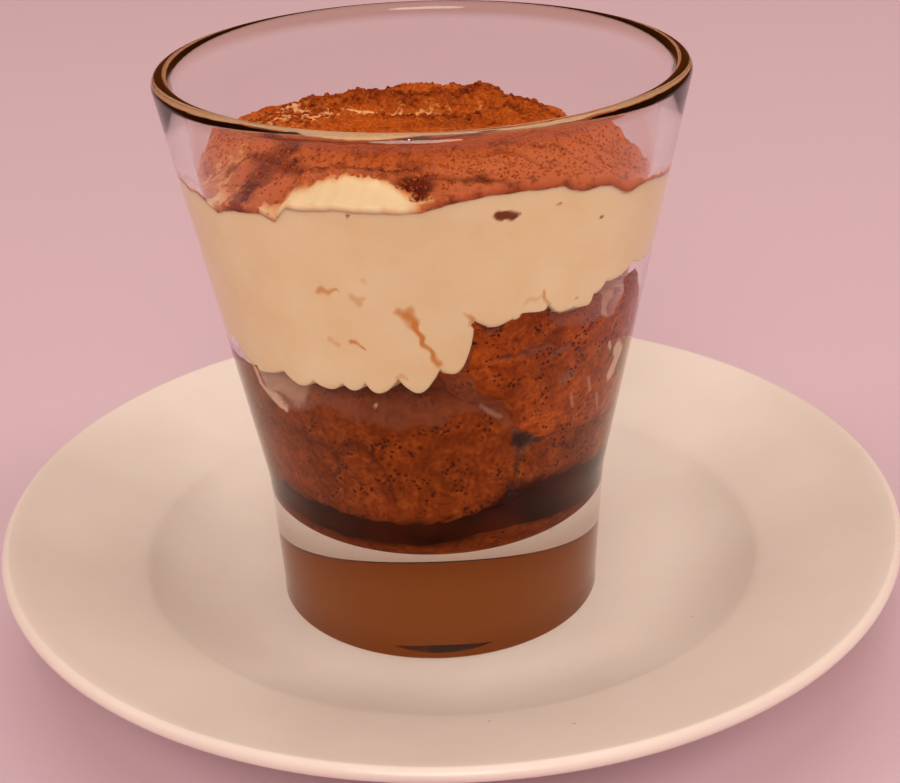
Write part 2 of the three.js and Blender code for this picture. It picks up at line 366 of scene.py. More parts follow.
def turned(name, outline, steps, axis, material):
    points = [(x * mm, 0, z * mm) for x, z in outline]
    mesh = bpy.data.meshes.new(name)
    mesh.from_pydata(points, [(i, i + 1) for i in range(len(points) - 1)], [])
    piece = bpy.data.objects.new(name, mesh)
    bpy.context.scene.collection.objects.link(piece)
    return applied(piece, wheel, {
        "Steps Round": steps, "Axis X": axis[0] * mm, "Axis Y": axis[1] * mm, "Finish": material})


wheel = turningTree()

plate = {
    "radius": 80, "flatRadius": 38, "wellTop": 6, "shoulderRadius": 55.5, "shoulderTop": 11.3,
    "rimRadius": 74, "rimTop": 17.9, "edgeTop": 19.56, "edgeRadius": 1.3,
    "thickness": 4.2, "footInner": 41.5, "footOuter": 45.5, "recess": 1.7, "steps": 320,
}


def glazedPorcelain():
    # Pressed hotel porcelain under a clear glaze: warm white, a soft gloss with a faint waviness,
    # and a few tiny dark pinholes.
    material, add, where = newMaterial("glazed porcelain")
    cloud = noisy(add, where, 38, 3)
    tone = add("ValToRGB", {"Fac": cloud}, stops=[(0.3, "#e0d2cb"), (0.7, "#e8dbd4")])
    pits = add("TexVoronoi", {"Vector": where, "Scale": 75})
    dark = remap(add, pits, 0.012, 0.03, 0.55, 1.0)
    base = layered(add, tone, (1.0, dark), blend_type="MULTIPLY")
    wave = noisy(add, where, 55, 1)
    bump = add("Bump", {"Height": wave, "Distance": 0.0006, "Strength": 0.35})
    return plainSurface(material, add, {
        "Base Color": base, "Roughness": 0.3, "IOR": 1.5, "Coat Weight": 0.12, "Coat Roughness": 0.2,
        "Coat IOR": 1.52, "Subsurface Weight": 0.12, "Subsurface Scale": 0.002, "Normal": bump,
        "Coat Normal": bump})


def addPlate():
    p = plate
    edgeAt = (p["radius"] - p["edgeRadius"], p["edgeTop"] - p["edgeRadius"])
    underShoulder = p["shoulderTop"] - p["thickness"]
    foot = [(p["footInner"] - 2, p["recess"]), (p["footInner"] - 0.6, 0.5), (p["footInner"] + 0.4, 0),
            (p["footOuter"] - 0.4, 0), (p["footOuter"] + 0.6, 0.6), (p["footOuter"] + 1.6, 2.2)]
    under = [(p["shoulderRadius"] - 3.5, underShoulder - 2.2), (p["shoulderRadius"] + 1.5, underShoulder),
             (p["rimRadius"], p["rimTop"] - p["thickness"])]
    edge = arc(edgeAt, p["edgeRadius"] - 0.03, -60, 95, 16)
    rim = [(p["rimRadius"] + 3, p["edgeTop"] - 0.5), (p["rimRadius"], p["rimTop"]),
           (p["shoulderRadius"] + 2.5, p["shoulderTop"] + 0.9)]
    # an arc that leaves the flat middle level and ends at the shoulder
    wide, rise = p["shoulderRadius"] - p["flatRadius"], p["shoulderTop"] - p["wellTop"]
    bend = (wide ** 2 + rise ** 2) / (2 * rise)
    slope = math.degrees(math.asin(wide / bend))
    well = arc((p["flatRadius"], p["wellTop"] + bend), bend, slope - 90, -90, 12)
    outline = [(0, p["recess"]), *foot, *under, *edge, *rim, *well, (30, p["wellTop"]), (0, p["wellTop"])]
    body = turned("plateBody", softened(outline, 2), p["steps"], (0, 0), glazedPorcelain())
    finished(body, "porcelain", "plate")


addPlate()
print("plate is turned")

tumbler = {
    "height": 95, "baseRadius": 28.3, "baseEdge": 0.5, "kneeRadius": 29.5, "kneeHeight": 24,
    "flare": 0.19, "shoulderHeight": 86, "lipRadius": 42.7, "wall": 3.05, "floor": 17.3,
    "corner": 11, "punt": 0.3,
    "kneeTop": 29, "outerFrom": 34, "innerFrom": 32, "steps": 320,
}


def pressedGlass():
    # Clear soda-lime glass, pressed and fire polished: smooth, slightly grey, with dark edges where it
    # bends the room's light, and mirroring most at the lip. Its colour is darker at the foot as painted shade
    # of the plate in shadow behind it, and tinted at the lip as painted reflection. Light that falls on what
    # is inside passes straight through.
    material, add, where = newMaterial("pressed glass")
    parts = add("SeparateXYZ", {"Vector": where})
    share = remap(add, parts.outputs["Z"], glassLow.z, glassHigh.z)
    full = tumbler["height"]
    mirror = add("ValToRGB", {"Fac": share}, stops=[(1 - 3 / full, "#524540"), (1 - 1.5 / full, "#ffffff")])
    # darker at the foot as painted shade, and tinted at the lip as painted reflection
    tint = add("ValToRGB", {"Fac": share}, stops=[
        (0.5 / full, "#cfbcae"), (6 / full, "#f6f4f3"), (1 - 3 / full, "#f6f4f3"),
        (1 - 1.5 / full, "#dccbbd")])
    clear = add("BsdfPrincipled", {
        "Base Color": tint, "Roughness": 0.0, "IOR": 1.5, "Transmission Weight": 1.0,
        "Specular Tint": mirror})
    passing = add("BsdfTransparent", {"Color": "#f1edeb"})
    path = add("LightPath")
    either = add("Math", {
        0: path.outputs["Is Shadow Ray"], 1: path.outputs["Is Diffuse Ray"]}, operation="MAXIMUM")
    mixed = add("MixShader", {"Fac": either, 1: clear, 2: passing})
    add("OutputMaterial", {"Surface": mixed})
    return material


def wallRadius(height):
    # the straight part of the inner wall
    t = tumbler
    return t["kneeRadius"] + t["flare"] * (height - t["kneeHeight"]) - t["wall"]


def cavityRadius(height):
    # the inner wall with the round corner at the floor
    t = tumbler
    cornerTop = t["floor"] + t["corner"]
    drop = np.clip(cornerTop - height, 0, t["corner"])
    rounded = wallRadius(cornerTop) - t["corner"] + np.sqrt(t["corner"] ** 2 - drop ** 2)
    return np.where(height < cornerTop, rounded, wallRadius(height))


def addTumbler():
    t = tumbler
    lip = t["wall"] / 2
    shoulder = t["shoulderHeight"]
    base = arc((t["baseRadius"] - t["baseEdge"], t["baseEdge"]), t["baseEdge"], -90, 0, 12)
    knee = softened([(t["baseRadius"], t["baseEdge"] + 3), (t["kneeRadius"] - 0.45, t["kneeHeight"] - 7.5),
                     (t["kneeRadius"] - 0.3, t["kneeHeight"] - 5), (t["kneeRadius"], t["kneeHeight"]),
                     (wallRadius(t["kneeTop"]) + t["wall"], t["kneeTop"])], 3)
    rim = arc((t["lipRadius"] - lip, t["height"] - lip), lip, 0, 180, 20)
    outer, inner = t["outerFrom"], t["innerFrom"]
    high = wallRadius(shoulder)
    outside = np.linspace((wallRadius(outer) + t["wall"], outer), (high + t["wall"], shoulder), 6)
    inside = np.linspace((high, shoulder), (wallRadius(inner), inner), 6)
    cornerAt = (wallRadius(t["floor"] + t["corner"]) - t["corner"], t["floor"] + t["corner"])
    corner = arc(cornerAt, t["corner"], 0, -90, 24)
    outline = [(0, t["punt"]), (t["baseRadius"] - t["baseEdge"] - 5, 0.15), *base, *knee, *outside, *rim,
               *inside, *corner, (10, t["floor"]), (0, t["floor"])]
    outline = [(x, z + glassAt[2]) for x, z in outline]
    finished(turned("tumblerBody", outline, t["steps"], glassAt, pressedGlass()), "glass", "glass")


addTumbler()
print("tumbler is turned")


# The spooned top, shared by cream and cocoa

top = {
    "crown": 84.8, "reach": 28.5, "reachToFront": 6.5, "reachToLeft": 3, "steepness": 8, "ragged": 0.35,
    "thinAtSides": 0.9,
    "edge": [(-180, 77.4), (-150, 78.8), (-130, 80.2), (-102.5, 79.6), (-77.7, 79.8), (-62.1, 80.4),
        (-53.7, 79), (-47.5, 80.4), (-38.5, 80.9), (-34.9, 80.2), (-31.7, 82.4), (-20.2, 83), (-5.5, 82.9),
        (0.8, 83.6), (6, 84.3), (13.3, 85.1), (21.7, 85), (30.1, 84.5), (35.3, 82.9), (40.6, 83.3),
        (49, 81.4), (61.5, 80.4), (79.1, 78.2), (103.5, 76.2), (140, 76.6), (180, 77.4)],
    # the broken step in front of the back crest, and how deep and wide it is
    "step": [(-22.6, 8.7), (-19.6, 11.3), (-15.6, 13.7), (-11.6, 13.7), (-6.5, 10.3), (-3.6, 8.1), (1.4, 7.1),
        (5.6, 6.9), (12.4, 7.7)],
    "stepDeep": 1.7, "stepWide": 1.0, "stepReach": 8,
}

# Ridges and hollows: x, y, half length, half width, turn in degrees, height.
ridges = [
    (5.4, 11.7, 14, 3.4, -4, 0.8), (-14, 14, 7, 3.4, 10, -0.6), (22.5, 12, 4.5, 5, 0, 2.6),
    (15, 9, 4, 4, 0, -1.0), (-0.6, 3.2, 13, 3.0, -3, -0.8), (-20.6, 4.7, 8, 7, 60, 0.6),
    (21.4, -10.3, 9, 2.4, 35, -0.6), (16.4, -2.3, 8, 4.5, 20, -0.2), (-11.6, -30.8, 14, 2.6, -18, 1.9),
    (-9.6, -24.3, 13, 2.8, -16, -1.0), (-1.6, -34.7, 2.2, 1.7, 0, -2.6),
    (-27.6, -18.3, 5, 3.5, -60, 0.9), (-32.6, -10.3, 3, 5, 0, 0.6), (31.4, 3.7, 7, 12, 0, -2.5),
]

# Crests and cracks: half width, height, how damp they are, which paints shade along cracks and under crests,
# how clotted, and the points along them.
seams = [
    (2.6, 0.8, 0.0, 0.3, [(-2.6, 16.2), (3.4, 17.2), (8.4, 15.7), (10.9, 12.7), (12.9, 9.2), (16.4, 8.2)]),
    (0.9, 0.5, 0.8, 1.0, [(9.4, 14.2), (11.9, 10.7), (14.4, 8.4), (19.4, 6.9), (21, 1.7), (23.6, -1.6)]),
    (0.9, 0.7, 0.8, 1.0, [(-23.6, 7.7), (-20.5, 12.3), (-15.6, 14.7), (-11.6, 14.7), (-6.5, 11.3),
                          (-3.8, 9.1), (5.6, 7.9), (9.4, 10.2)]),
    (0.8, 0.6, 0.3, 0.5, [(9.4, 5.7), (12.7, 7.7), (15.7, 3.4), (17.9, -1.6), (17.4, -5.3)]),
    (0.8, -0.7, 0.8, 0.8, [(13.9, 5.2), (15.4, 1.7), (16, -2.3)]),
    (0.7, 0.5, 0.6, 0.9, [(2.4, 3.7), (6.9, 1.2), (11.4, 3.2)]),
    (0.7, 0.5, 0.6, 0.9, [(-7.6, -1.3), (-2.6, -2.8), (3.4, -0.8), (8.4, -3.8)]),
    (0.6, -0.5, 0.8, 0.6, [(1.4, -6.3), (5.4, -4.3), (8.4, -6.3), (11.9, -7.5)]),
    (0.7, -0.6, 0.5, 0, [(-10.9, -18.6), (-9.3, -21.7), (-5.9, -20.7), (-4.4, -18.9)]),
    (0.7, -0.7, 0.6, 0, [(-3.7, -24.3), (2.1, -30.9), (7.7, -34.7)]),
    (0.6, -0.5, 0.5, 0, [(8.1, -23.7), (11.1, -22.6), (14, -23.9), (16.6, -28.9)]),
    (0.7, -0.6, 0.5, 0, [(18.8, -36.3), (23.5, -32.4), (28.5, -26)]),
    (1.6, 0.5, 0.9, 0, [(-24.5, -17.5), (-18.4, -23.1), (-12.4, -27.5), (-5.1, -29.2), (-1.5, -26.9)]),
]


def seamLifts(x, y, wobble):
    # height, dampness with painted shade, and clots that the crests and cracks add
    place = np.stack([x + 0.5 * wobble, y + 0.8 * wobble[..., ::-1]], -1)
    lift, dampAndShade, clots = np.zeros_like(x), np.zeros_like(x), np.zeros_like(x)
    for half, high, wetAndShade, clotted, points in seams:
        line = np.exp(-(lineDistance(place, points) / half) ** 2)
        lift += high * line
        dampAndShade = np.maximum(dampAndShade, wetAndShade * line)
        clots = np.maximum(clots, clotted * line)
    return lift, dampAndShade, clots


def edgeHeight(angle):
    degrees = (np.degrees(angle) + 180) % 360 - 180
    height = np.interp(degrees, *np.array(top["edge"]).T)
    ring = aroundAxis(40 + 0 * angle, 0 * angle, angle)
    return height + top["ragged"] * fractal(ring, 3.5, 4, 11)


def topHeight(x, y, edge=None, wobble=None):
    # height of the cream's top, as in the solid but with finer folds
    radius = np.hypot(x, y)
    angle = np.arctan2(x, -y)
    edge = edgeHeight(angle) if edge is None else edge
    wobble = 0 * (x + edge) if wobble is None else wobble
    glass = wallRadius(edge)
    reach = top["reach"] + top["reachToFront"] * np.cos(angle) - top["reachToLeft"] * np.sin(angle)
    crown = 1 / (1 + (radius / reach) ** top["steepness"])
    crownAtGlass = 1 / (1 + (glass / reach) ** top["steepness"])
    height = edge + (top["crown"] - edge) * (crown - crownAtGlass) / (1 - crownAtGlass)
    fade = 1 - np.clip(radius / glass, 0, 1) ** 12
    for away, lift in ovals(x, y, ridges):
        height = height + lift * np.exp(-away ** 2) * fade
    height = height + seamLifts(x, y, wobble)[0] * fade
    thin = np.maximum(smooth(42, 50, np.degrees(angle)), 0.7 * smooth(-50, -58, np.degrees(angle)))
    height = height - top["thinAtSides"] * thin * smooth(0.8, 1, radius / glass)
    step = np.array(top["step"], float)
    front = np.interp(x, step[:, 0], step[:, 1]) - y + 0.7 * wobble
    drop = smooth(0, top["stepWide"], front) * np.exp(-(np.maximum(front, 0) / top["stepReach"]) ** 2)
    return height - top["stepDeep"] * drop * smooth(-25, -20, x) * smooth(14, 9, x)


# Cream

cream = {
    "sink": 0.13, "filled": 0.8, "underside": 49, "columns": 620, "wallRings": 84, "topRings": 36,
    "under": 1.0, "ragged": 0.12, "pressed": 0.1, "rollIn": 1.2, "rollUp": 0.6,
    # the lower edge: angle and height of each notch and of the drop after it, and how full the drop is
    "lobes": [(-86.7, 53, -77.7, 51.3, 1.4), (-68.4, 54.4, -56.4, 50.3, 1.5), (-44.1, 52.4, -39.3, 50.5, 1.3),
        (-34, 52.1, -29.5, 51.1, 1.3), (-24.8, 52.6, -22, 51.6, 1.2), (-18.2, 53.3, -15.2, 51.4, 1.2),
        (-9.2, 54.4, -4.1, 51.7, 1.3), (1.9, 56.1, 5.4, 54.9, 0.7), (10.4, 64.1, 15.6, 62.6, 1.5),
        (20.2, 63.5, 24.9, 61.6, 1.0), (29.7, 65, 34.8, 62.7, 1.1), (38, 62.9, 43, 62.3, 0.8),
        (44.2, 64.2, 45.6, 64, 1.0), (48.4, 65.5, 53.7, 65, 1.2), (60.5, 66.4, 66.8, 65, 1.2),
        (76.1, 65.4, 82, 63.3, 1.2), (89.9, 63, 95.7, 60.5, 1.2), (103.5, 60, 110.2, 57.6, 1.2),
        (120.6, 58.2, 128, 56, 1.2), (139.1, 56.6, 147.3, 54, 1.2), (160, 55.4, 169, 53, 1.2),
        (181, 54.2, 190, 52.2, 1.2), (203, 54.4, 211.8, 52.2, 1.2), (224.9, 53.8, 233.4, 52, 1.2),
        (247.7, 53.6, 255.5, 51.6, 1.2)],
    # creases where it folded over itself, yellow inside as painted shade: angle and height of both ends, half
    # widths there, depth
    "creases": [(-26.3, 69.2, -21.6, 69.6, 0.9, 0.25, 0.5), (-17.7, 68.4, -15.4, 68.5, 1.1, 0.4, 0.3),
        (-17.1, 68.2, -17.1, 67.5, 0.9, 0.3, 0.3), (-7.2, 66.4, -4.4, 66.2, 1.0, 0.7, 0.5),
        (-5.5, 66, -3.7, 63.6, 1.6, 0.7, 0.6), (-4.1, 64.4, -2.2, 61.2, 0.8, 0.35, 0.9),
        (-2.2, 61.2, -0.2, 59.2, 0.35, 0.4, 0.9), (-0.2, 59.2, 1.4, 57.4, 0.6, 0.9, 0.6),
        (-25.7, 60.6, -24, 60.3, 0.7, 0.6, 0.25), (-20.2, 61.1, -17.4, 60, 0.35, 0.3, 0.7),
        (-9.3, 55, -7.2, 54.9, 0.5, 0.6, 0.3), (8, 66, 10.2, 63.9, 0.2, 0.7, 0.5),
        (23.8, 66.4, 27.2, 66.8, 0.7, 0.5, 0.2), (27.2, 67.6, 29.5, 65.2, 0.2, 0.5, 0.5),
        (-14.9, 71.5, -14.7, 71.3, 0.5, 0.4, 0.2)],
    # crumbs of cocoa caught against the glass: angle, height, half length, half width, turn, strength
    "crumbs": [(16.7, 81.4, 1.7, 0.75, -4, 1), (15, 81.8, 0.6, 0.5, 0, 1), (42.3, 77.7, 0.35, 0.3, 0, 0.8),
        (-17, 82.2, 0.3, 0.25, 0, 0.8), (38.2, 64.8, 0.3, 0.2, 0, 0.5), (29.3, 81.8, 0.5, 0.2, 10, 0.6)],
}


degreeOnGlass = 0.6  # millimetres along the glass in a degree, about the cream


def creamColumns():
    # points of the lower edge, evenly spaced along it: round drops between pointed notches
    lobes = cream["lobes"]
    following = lobes[1:] + [(lobes[0][0] + 360, *lobes[0][1:])]
    share = np.linspace(0, 1, 60)
    angles, heights = [], []
    for (notch, notchHeight, drop, dropHeight, full), after in zip(lobes, following):
        curve = np.sin(share * math.pi / 2) ** (0.68 * full)
        angles += [*(notch + (drop - notch) * share), *(after[0] + (drop - after[0]) * share)[::-1]]
        heights += [*(notchHeight + (dropHeight - notchHeight) * curve),
                    *(after[1] + (dropHeight - after[1]) * curve)[::-1]]
    onward = np.diff(angles, prepend=angles[0]) * degreeOnGlass
    along = np.cumsum(np.hypot(onward, np.diff(heights, prepend=heights[0])))
    weight = np.where(np.abs(np.array(angles)) < 88, 1.0, 0.35)
    along = np.cumsum(np.diff(along, prepend=0) * weight)
    even = np.linspace(0, along[-1], cream["columns"], endpoint=False)
    return np.radians(np.interp(even, along, angles)), np.interp(even, along, heights)


def creaseDepth(angle, height):
    place = np.stack([np.degrees(angle) * degreeOnGlass, height], -1)
    place = place + 0.25 * np.stack([np.sin(height * 2.3), np.sin(place[..., 0] * 2.9)], -1)
    depth = np.zeros_like(height)
    for a, b, c, d, wideA, wideB, deep in cream["creases"]:
        start, stop = np.array([a * degreeOnGlass, b]), np.array([c * degreeOnGlass, d])
        away, share = segmentDistance(place, start, stop)
        depth = np.maximum(depth, deep * np.clip(1 - (away / (wideA + (wideB - wideA) * share)) ** 2, 0, 1))
    return depth


def creamTone(add, where):
    # the pale ivory of mascarpone, shared with the places where it shows through the cocoa
    cloud = noisy(add, where, 120, 4)
    return add("ValToRGB", {"Fac": cloud}, stops=[(0.3, "#efd9ac"), (0.7, "#f4e4be")])


def whippedCream():
    # Mascarpone whipped with egg and sugar: pale ivory, soft because light enters it, a dull sheen, and
    # a painted shade of yellow where it folds over itself.
    material, add, where, creaseShade, crumb = newMaterial("whipped mascarpone", "creaseShade", "crumb")
    # painted shade: a deeper yellow inside the creases
    folded = remap(add, creaseShade, 0, 0.6, 0, 0.9)
    base = layered(add, creamTone(add, where), (folded, "#d4892f"), (crumb, "#7c3f22"))
    fine = noisy(add, where, 900, 5)
    bump = add("Bump", {"Height": fine, "Distance": 0.0003, "Strength": 0.25})
    return plainSurface(material, add, {
        "Base Color": base, "Roughness": 0.5, "IOR": 1.45, "Specular IOR Level": 0.2,
        "Subsurface Weight": 0.4, "Subsurface Radius": (1.0, 0.6, 0.3), "Subsurface Scale": 0.0025,
        "Normal": bump})


def addCream():
    c = cream
    angles, low = creamColumns()
    low = low + c["ragged"] * fractal(aroundAxis(30 + 0 * low, low, angles), 1.8, 3, 3)
    edge = edgeHeight(angles)
    wallX, wallY = wallRadius(edge) * np.sin(angles), -wallRadius(edge) * np.cos(angles)
    high = topHeight(wallX, wallY, edge) + c["filled"]
    rings = []
    # underside, a rolled edge, the wall, and the top that the cocoa hides
    for share in (0.2, 0.45, 0.7, 0.86):
        rings.append((share * wallRadius(low), c["underside"] + (low - c["underside"]) * share ** 3, 0 * low))
    for turn in np.radians(np.linspace(-90, 0, 7)):
        radius = wallRadius(low) - c["rollIn"] + (c["rollIn"] + c["sink"]) * math.cos(turn)
        rings.append((radius, low + c["rollUp"] + c["rollUp"] * math.sin(turn), 0 * low))
    for share in np.linspace(0, 1, c["wallRings"] + 1)[1:]:
        height = low + c["rollUp"] + (high - low - c["rollUp"]) * share
        depth = creaseDepth((angles + math.pi) % (2 * math.pi) - math.pi, height)
        rings.append((wallRadius(height) + c["sink"] - c["pressed"] * depth, height, depth))
    for share in (1 - np.linspace(0, 1, c["topRings"] + 1)[1:-1]):
        radius = share * wallRadius(high)
        lift = (c["filled"] + c["under"]) * smooth(0.94, 1, share) - c["under"]
        height = topHeight(radius * np.sin(angles), -radius * np.cos(angles), edge) + lift
        rings.append((radius, height, 0 * low))
    radius, height, depth = np.array(rings).transpose(1, 2, 0)
    grid = aroundAxis(radius, height, angles[:, None])
    middle = topHeight(np.zeros(1), np.zeros(1))[0] - c["under"]
    points, faces = closedGrid(grid, (0, 0, c["underside"]), (0, 0, middle))
    bearing = np.degrees((angles + math.pi) % (2 * math.pi) - math.pi)[:, None] + 0 * height
    ragged = 0.35 * fractal(grid, 1.2, 3, 21)
    crumb = np.zeros_like(height)
    marks = [(a * degreeOnGlass, *rest) for a, *rest in c["crumbs"]]
    for away, dark in ovals(bearing * degreeOnGlass, height, marks):
        crumb = np.maximum(crumb, dark * smooth(1.25, 0.85, away + ragged))
    values = {"creaseShade": withPoles(depth), "crumb": withPoles(crumb)}
    finished(addObject("creamLayer", points, faces, whippedCream(), **values), "cream", "cream")


addCream()
print("cream is filled in")


# Cocoa

cocoa = {
    "sink": 0.17, "thick": 1.35, "under": -0.15, "columns": 520, "backShare": 0.2, "rings": 150,
    "underEvery": 10, "lump": 0.34, "grain": 0.16, "grainsPerMm": 1.5, "clot": 0.33, "clotsPerMm": 1.3,
    # the angle from the front beyond which columns grow wider
    "backFrom": 86,
    # places where the cream shows: x, y, half length, half width, turn, how much cocoa is missing
    "bare": [(-11.5, -34.2, 12.5, 3.3, -14, 1.6), (-23, 6.5, 7.5, 9, 30, 0.72), (-14.6, 4.7, 6, 7, 20, 0.3),
        (-31.1, -15.3, 3.6, 7.5, -28, 0.66), (-4.6, 5.3, 9.5, 2.0, -14, 0.7), (4.4, 5.6, 7, 1.6, -6, 0.5),
        (26.4, -23.8, 2.6, 1.6, 40, 0.4), (-23.6, -29.3, 4, 3, 0, 0.5), (-28.6, -22.3, 3, 3, 0, 0.6),
        (13.9, -32.3, 4, 1.0, -20, 0.3)],
    # dark places: damp cocoa, and painted shade at the pit at the end of the front fold and in the fold's
    # shadow to its right
    "dampAndShade": [(-1.6, -33.3, 3, 3, 0, 1.0), (-23.6, -20.3, 10, 2.6, 55, 0.8), (6.4, -4.8, 7, 3, 10, 0.35),
        (-5.6, -34.8, 2, 1, 0, 0.8), (3.4, -32.8, 9, 1.4, -22, 0.8), (-34.6, -22.3, 4, 2, 60, 0.8)],
    # the mottled place at the left, strewn with clots
    "mottled": (-23, 6, 9, 11, 30, 0.75),
}


def cocoaBrown(add, where, wetAndShade=None, paintedVeil=None):
    # dry orange-brown powder, with darker clumps, a deep red brown where it drank up moisture and, as painted
    # shade, in cracks and hollows, and a paler painted reflection where seen through the glass
    grains = noisy(add, where, 1500, 5, 0.7)
    patches = noisy(add, where, 260, 4, 0.62)
    dry = add("ValToRGB", {"Fac": grains}, stops=[(0.28, "#80300c"), (0.5, "#b04f15"), (0.72, "#cc6c2a")])
    if paintedVeil:
        # painted reflection: paler where the powder is seen through the glass
        dry = layered(add, dry, (paintedVeil, "#d2744a"))
    # the deep red brown of damp cocoa, used also as painted shade
    moistAndShadeBrown = add("ValToRGB", {"Fac": grains}, stops=[(0.3, "#3d1208"), (0.7, "#7e2c12")])
    wetnessAndShade = remap(add, patches, 0.54, 0.66, 0.0, 0.6)
    if wetAndShade:
        wetnessAndShade = add("Math", {0: wetAndShade, 1: wetnessAndShade}, operation="ADD", use_clamp=True)
    return layered(add, dry, (wetnessAndShade, moistAndShadeBrown)), grains


def cocoaPowder():
    # Sifted alkalised cocoa on ivory cream: where it lies thin the cream is stained orange and shows between.
    # Painted shade darkens its cracks and hollows, and a painted reflection pales it where it is seen through
    # the glass.
    material, add, where, cover, dampAndShade, paintedVeil = newMaterial("sifted cocoa", "cover", "dampAndShade", "paintedVeil")
    brown, grains = cocoaBrown(add, where, dampAndShade, paintedVeil)
    dust = noisy(add, where, 800, 5, 0.62)
    spread = add("Math", {0: dust, 1: 3.4, 2: -1.7}, operation="MULTIPLY_ADD")
    sprinkled = add("Math", {0: cover, 1: spread}, operation="ADD")
    amount = remap(add, sprinkled, 0.32, 0.62)
    stain = remap(add, cover, -0.6, 0.6, 0.0, 0.95)
    base = layered(add, creamTone(add, where), (stain, "#d9792c"), (amount, brown))
    height = add("Math", {0: grains, 1: amount}, operation="MULTIPLY")
    bump = add("Bump", {"Height": height, "Distance": 0.0005, "Strength": 0.8})
    return plainSurface(material, add, {
        "Base Color": base, "Roughness": 0.85, "IOR": 1.4, "Specular IOR Level": 0.15,
        "Subsurface Weight": 0.15, "Subsurface Radius": (1.0, 0.5, 0.25), "Subsurface Scale": 0.001,
        "Normal": bump})


def cocoaGrain(name, wetAndShade):
    # Loose grains and clots of the same cocoa, rougher and with no cream beneath.
    material, add, where = newMaterial(name)
    dampAndShade = noisy(add, where, 300, 2)
    amount = add("Math", {0: dampAndShade, 1: 0.5, 2: wetAndShade - 0.25}, operation="MULTIPLY_ADD", use_clamp=True)
    brown, _ = cocoaBrown(add, where, amount)
    return plainSurface(material, add, {
        "Base Color": brown, "Roughness": 0.9, "IOR": 1.4, "Specular IOR Level": 0.1})


def scatteringTree():
    # strews small crumpled balls over a surface, as densely as the values at its points say
    tree, add, given = newTree("strewn grains", {
        "Density Name": "String", "Per Square Metre": "Float", "Seed": "Int", "Grain Radius": "Float",
        "Finish": "Material"})
    powder = add("GeometryNodeInputNamedAttribute", {"Name": given["Density Name"]}, data_type="FLOAT")
    density = add("Math", {0: given["Per Square Metre"], 1: powder}, operation="MULTIPLY")
    spots = add("GeometryNodeDistributePointsOnFaces", {
        "Mesh": given["Geometry"], "Density": density, "Seed": given["Seed"]})
    ball = add("GeometryNodeMeshIcoSphere", {"Radius": given["Grain Radius"], "Subdivisions": 1})
    size = add("FunctionNodeRandomValue", {2: 0.55, 3: 1.5, "Seed": given["Seed"]}, data_type="FLOAT")
    turn = add("FunctionNodeRandomValue", {0: (0, 0, 0), 1: (6.3, 6.3, 6.3)}, data_type="FLOAT_VECTOR")
    grains = add("GeometryNodeInstanceOnPoints", {
        "Points": spots, "Instance": ball, "Rotation": turn, "Scale": size})
    real = add("GeometryNodeRealizeInstances", {"Geometry": grains})
    crumple = add("TexNoise", {"Scale": 4000.0, "Detail": 1.0})
    centred = add("VectorMath", {0: crumple.outputs["Color"], 1: (-0.5, -0.5, -0.5)}, operation="ADD")
    offset = add("VectorMath", {0: centred, "Scale": given["Grain Radius"]}, operation="SCALE")
    moved = add("GeometryNodeSetPosition", {"Geometry": real, "Offset": offset})
    dressed = add("GeometryNodeSetMaterial", {"Geometry": moved, "Material": given["Finish"]})
    add("NodeGroupOutput", {"Geometry": dressed})
    return tree


